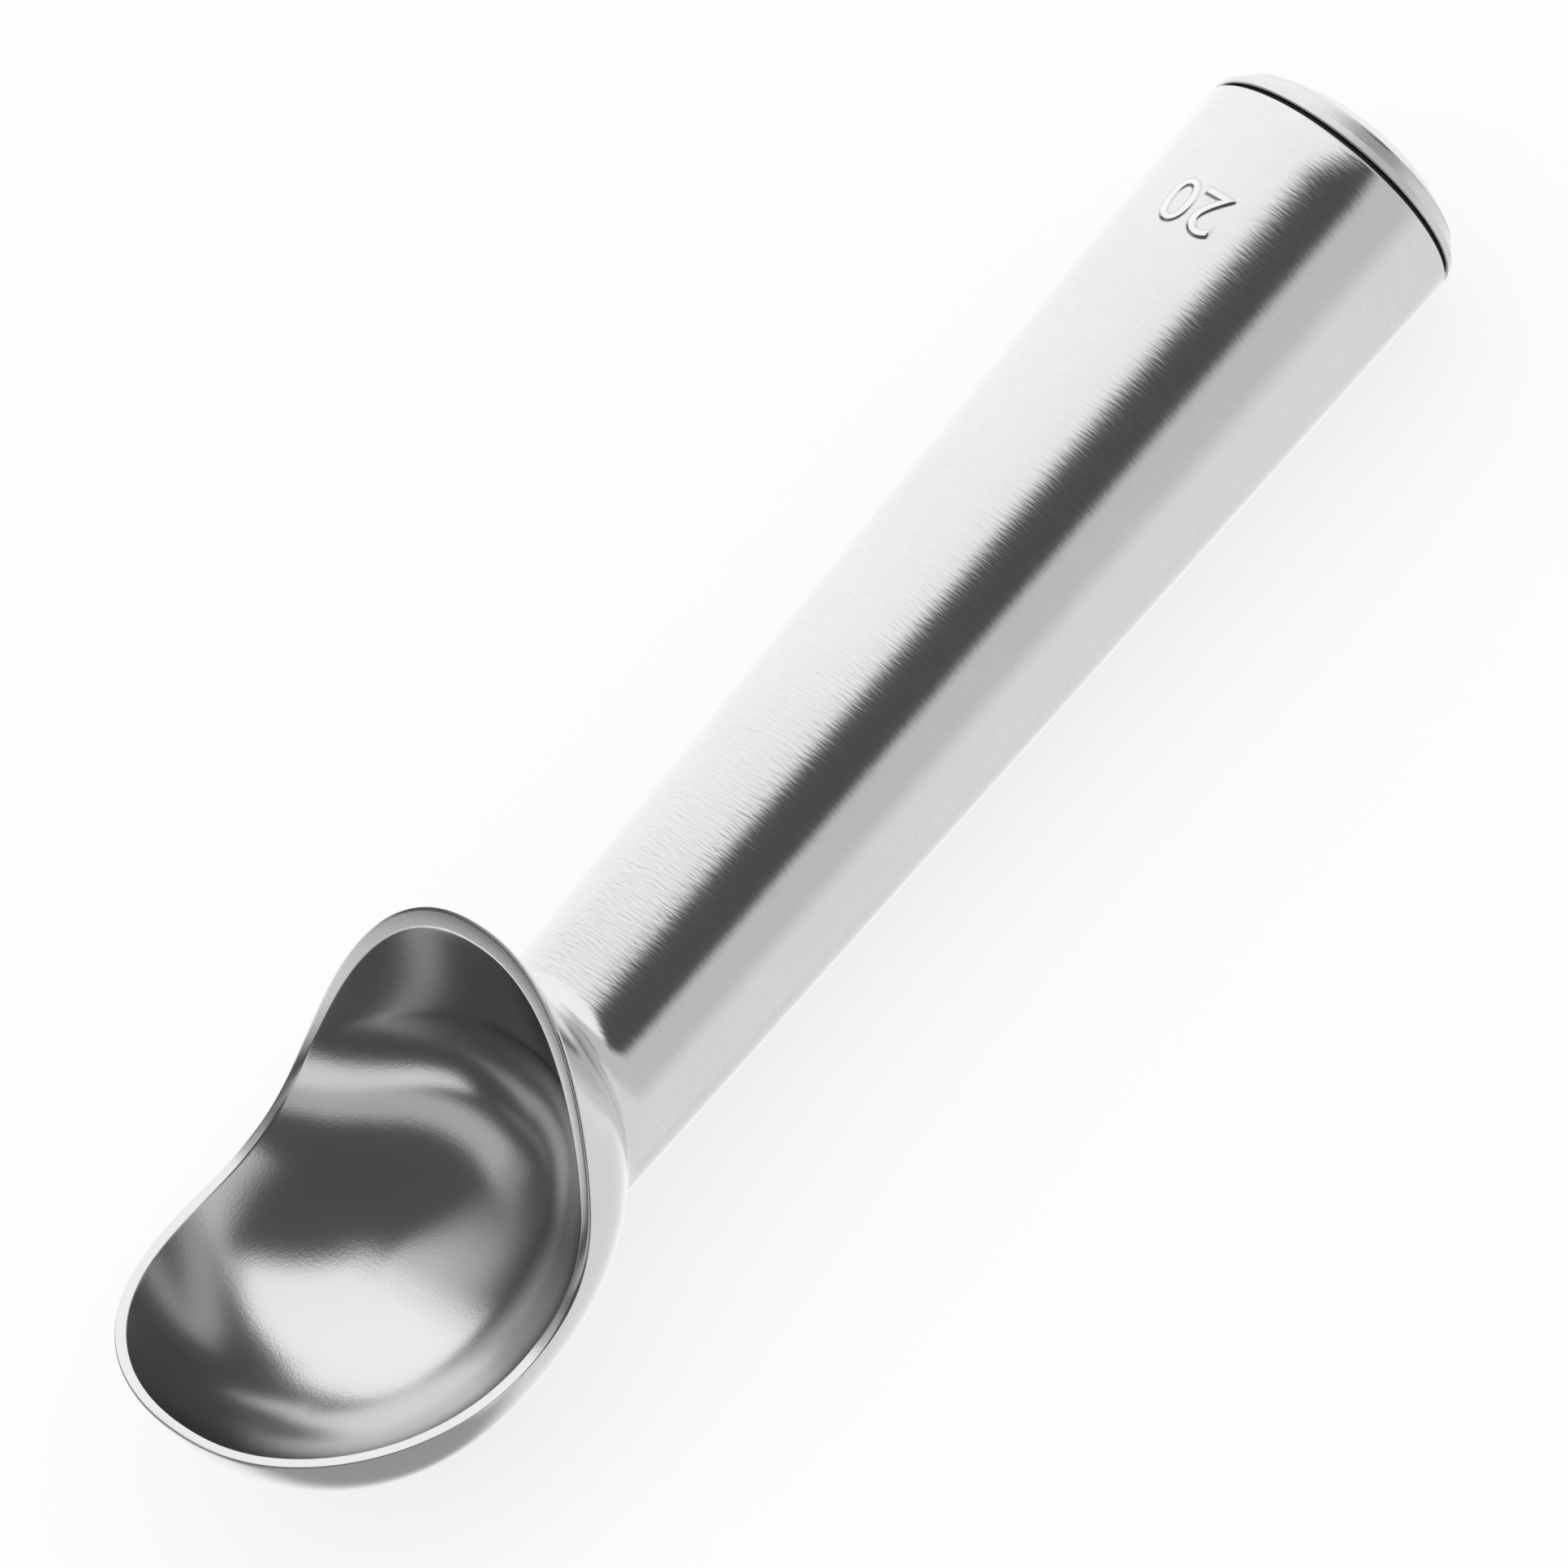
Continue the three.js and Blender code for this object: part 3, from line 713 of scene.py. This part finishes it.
class DIPPER_OT_end_cap(bpy.types.Operator):
    """Turn the end cap with its spigot, flange, bevel and crown"""

    bl_idname = "dipper.end_cap"
    bl_label = "End Cap"

    def execute(self, context):
        s = context.scene.dipper_cap
        top = s.gap + s.flange_thickness
        bevel = top + s.bevel_height
        step = s.flange_radius - s.bevel_width
        crown = step - s.step_width
        foot = bevel - s.step_depth
        high = bevel + s.crown_height
        low = -s.groove_depth - s.groove_width / 2
        profile = [(-s.spigot_length, s.spigot_radius - s.spigot_chamfer),
                   (-s.spigot_length + s.spigot_chamfer, s.spigot_radius),
                   (low, s.spigot_radius), (low, s.groove_radius), (low + s.groove_width, s.groove_radius),
                   (low + s.groove_width, s.spigot_radius), (s.gap, s.spigot_radius)]
        for a in np.linspace(math.pi, math.pi / 2, 6):
            profile.append((s.gap + s.flange_round * (1 + math.cos(a)),
                            s.flange_radius - s.flange_round * (1 - math.sin(a))))
        soft = s.soft_edge
        edge = s.flange_radius - s.flange_taper
        wall = bevel + s.crown_wall
        profile += [(top - soft, edge), (top + soft * 0.6, edge - soft * 0.4),
                    (bevel - soft, step + soft), (bevel, step + soft * 0.3),
                    (bevel - soft, step), (foot, step), (foot, crown), (wall, crown)]
        t = np.linspace(0, 1, 17)[1:, None]
        a, b = np.array([wall, crown]), np.array([(wall + high) / 2, (2 * crown + s.flat_radius) / 3])
        c, d = np.array([high, (crown + 2 * s.flat_radius) / 3]), np.array([high, s.flat_radius])
        curve = (1 - t) ** 3 * a + 3 * (1 - t) ** 2 * t * b + 3 * (1 - t) * t * t * c + t ** 3 * d
        profile += [tuple(map(float, p)) for p in curve]
        piece = turn_profile("turned_cap", profile)
        bpy.ops.mesh.edge_face_add()
        bpy.ops.mesh.inset(thickness=s.flat_radius * 0.5)
        bpy.ops.mesh.select_all(action="DESELECT")
        bpy.ops.mesh.select_mode(type="EDGE")
        bpy.ops.mesh.select_non_manifold(extend=False)
        bpy.ops.mesh.edge_face_add()
        finish_turned(piece)
        settle(piece, cap_metal_material(), "end_cap")
        return {"FINISHED"}


class DIPPER_OT_seals(bpy.types.Operator):
    """Turn the seal washer that shows as a black line, and finish the pieces inside"""

    bl_idname = "dipper.seals"
    bl_label = "Seals"

    def execute(self, context):
        s = context.scene.dipper_cap
        outer = s.flange_radius - s.seal_setback
        inner = s.spigot_radius + s.seal_fit
        low, high = s.seal_clearance, s.gap - s.seal_clearance
        soft = (high - low) * 0.3
        profile = [(low, inner), (low, outer - soft), (low + soft, outer), (high - soft, outer),
                   (high, outer - soft), (high, inner), (low, inner)]
        piece = turn_profile("seal_washer", profile)
        finish_turned(piece)
        rubber = seal_material()
        settle(piece, rubber, "cap_gasket")
        for node, material in (("cap_o_ring", rubber), ("heat_fluid", fluid_material())):
            mesh = frame["nodes"][node].data
            mesh.materials.clear()
            mesh.materials.append(material)
        return {"FINISHED"}


# Studio

FLOOR_SIZE = 6.0
FLOOR_DROP = 0.0002
FLOOR_GLOW_SHARE = 0.75
TENT_RADIUS = 2.4
TENT_STRENGTH = 1.2
CAMERA_LENS = 223.6
CAMERA_MATRIX = Matrix((
    (0.630584, 0.743027, -0.224220, -0.305678),
    (-0.694896, 0.411848, -0.589492, -0.577685),
    (-0.345664, 0.527534, 0.776031, 0.765258),
    (0.0, 0.0, 0.0, 1.0)))


class DIPPER_OT_stage(bpy.types.Operator):
    """Set the floor, the even light, the reflection tent and the camera"""

    bl_idname = "dipper.stage"
    bl_label = "Stage"

    def execute(self, context):
        self.floor(context)
        self.world(context)
        self.tent(context)
        self.camera(context)
        context.scene.view_settings.view_transform = "Standard"
        return {"FINISHED"}

    def floor(self, context):
        """A white floor that glows to the eye and still takes the shadow."""
        clear_selection()
        bpy.ops.mesh.primitive_plane_add(size=FLOOR_SIZE, location=(0, 0, -FLOOR_DROP))
        floor = context.object
        floor.name = "floor"
        material, nodes = new_material("pale_floor")
        shader = nodes.add(
            "ShaderNodeBsdfDiffuse", {}, {"Color": rgba(context.scene.dipper_colours.floor)})
        glow = nodes.add("ShaderNodeEmission", {}, {"Color": (1, 1, 1, 1), "Strength": 1.0})
        seen = nodes.add("ShaderNodeLightPath", {}, {}, "Is Camera Ray")
        seen = seen.most(nodes.add("ShaderNodeLightPath", {}, {}, "Is Glossy Ray"))
        seen = seen.most(nodes.add("ShaderNodeLightPath", {}, {}, "Is Transmission Ray"))
        both = nodes.add("ShaderNodeMixShader", {}, {0: seen * FLOOR_GLOW_SHARE, 1: shader, 2: glow})
        link_surface(nodes, both)
        floor.data.materials.append(material)
        floor.visible_glossy = False

    def world(self, context):
        world = bpy.data.worlds.new("studio")
        world.use_nodes = True
        nodes = Nodes(world.node_tree)
        light = nodes.add("ShaderNodeBackground", {}, {"Color": (1, 1, 1, 1), "Strength": 1.0})
        output = world.node_tree.nodes.new("ShaderNodeOutputWorld")
        world.node_tree.links.new(light.socket, output.inputs["Surface"])
        context.scene.world = world

    def tent(self, context):
        """A dome that only reflections see, lit as the cloths and cards round a small studio."""
        clear_selection()
        bpy.ops.mesh.primitive_uv_sphere_add(segments=96, ring_count=48, radius=TENT_RADIUS)
        tent = context.object
        tent.name = "reflection_tent"
        material, nodes = new_material("tent_cloth")
        point = nodes.add("ShaderNodeTexCoord", {}, {}, "Object")
        facing = nodes.add("ShaderNodeVectorMath", {"operation": "NORMALIZE"}, {0: point})
        x, y, z = (nodes.add("ShaderNodeSeparateXYZ", {}, {0: facing}, axis) for axis in range(3))

        # Bright cloth over the cap's side and the far side, above a grey foreground
        across = x * 0.743 + y * 0.669
        cloth = across.between(-0.12, 0.07) * x.between(0.0, 0.15)
        foreground = 0.60 + (0.0 - z).between(0.05, 0.4) * 0.20
        reach = z.between(0.56, 0.66).most(y.between(0.0, 0.43))
        lit = foreground + (1.03 + across.between(0.0, 0.8) * 0.05 - foreground) * reach
        lit = lit * (1.0 - (x * 0.9945 - z * 0.1045).between(0.95, 0.995) * 0.5)

        # Dark room behind the camera, with a soft glow and haze on the far side and one pale strip
        turn = nodes.add("ShaderNodeMath", {"operation": "ARCTAN2"}, {0: y, 1: x})
        glow = (1.0 - turn.between(1.55, 2.60)) * y.between(0.0, 0.15)
        glow = glow * (0.03 + z.between(0.35, 0.95) * 0.47)
        along = x * 0.525 - y * 0.231 + z * 0.819
        strip = along.between(-0.26, -0.10) * (1.0 - along.between(0.08, 0.25))
        strip = strip * (1.0 - y.between(0.40, 0.75)) * 0.40
        near = x.between(-0.08, 0.04) * (1.0 - y.between(-0.3, 0.0))
        side = near * (1.0 - z.between(0.38, 0.56)) * (foreground - 0.06)
        ground = (0.0 - z).between(0.02, 0.3) * (0.36 + y.between(0.2, 0.5) * 0.64)
        haze = (1.0 - z.between(0.10, 0.27)) * y.between(0.1, 0.4) * 0.45
        haze = haze + (1.0 - z.between(-0.05, 0.12)) * y.between(0.3, 0.6) * 0.45
        dark = (glow + strip).most(side) + 0.08
        dark = dark.most(ground).most(haze)

        level = dark + (lit - dark) * cloth
        tone = nodes.mix(level / TENT_STRENGTH, (0, 0, 0, 1), (1, 1, 1, 1))
        shader = nodes.add("ShaderNodeEmission", {}, {"Color": tone, "Strength": TENT_STRENGTH})
        link_surface(nodes, shader)
        tent.data.materials.append(material)
        tent.visible_camera = False
        tent.visible_diffuse = False
        tent.visible_transmission = False
        tent.visible_volume_scatter = False
        tent.visible_shadow = False

    def camera(self, context):
        data = bpy.data.cameras.new("photo_camera")
        data.sensor_fit = "HORIZONTAL"
        data.sensor_width = 36.0
        data.lens = CAMERA_LENS
        data.clip_start = 0.05
        data.clip_end = 20.0
        camera = bpy.data.objects.new("photo_camera", data)
        context.scene.collection.objects.link(camera)
        camera.matrix_world = handle_matrix() @ CAMERA_MATRIX
        context.scene.camera = camera


class DIPPER_PT_panel(bpy.types.Panel):
    """Buttons for the pieces of the dipper"""

    bl_idname = "DIPPER_PT_panel"
    bl_label = "Ice Cream Dipper"
    bl_space_type = "VIEW_3D"
    bl_region_type = "UI"
    bl_category = "Dipper"

    def draw(self, context):
        for operator in OPERATORS:
            self.layout.operator(operator.bl_idname)


OPERATORS = (
    DIPPER_OT_casting,
    DIPPER_OT_size_number,
    DIPPER_OT_end_cap,
    DIPPER_OT_seals,
    DIPPER_OT_stage,
)
GROUPS = {
    "dipper_casting": DipperCastingSizes,
    "dipper_cap": DipperCapSizes,
    "dipper_number": DipperNumberSizes,
    "dipper_colours": DipperColours,
}


def register():
    for name, group in GROUPS.items():
        bpy.utils.register_class(group)
        setattr(bpy.types.Scene, name, bpy.props.PointerProperty(type=group))
    for operator in OPERATORS:
        bpy.utils.register_class(operator)
    bpy.utils.register_class(DIPPER_PT_panel)


def unregister():
    bpy.utils.unregister_class(DIPPER_PT_panel)
    for operator in reversed(OPERATORS):
        bpy.utils.unregister_class(operator)
    for name, group in GROUPS.items():
        delattr(bpy.types.Scene, name)
        bpy.utils.unregister_class(group)


def main():
    register()
    bpy.ops.dipper.casting()
    bpy.ops.dipper.size_number()
    bpy.ops.dipper.end_cap()
    bpy.ops.dipper.seals()
    bpy.ops.dipper.stage()


if __name__ == "__main__":
    main()
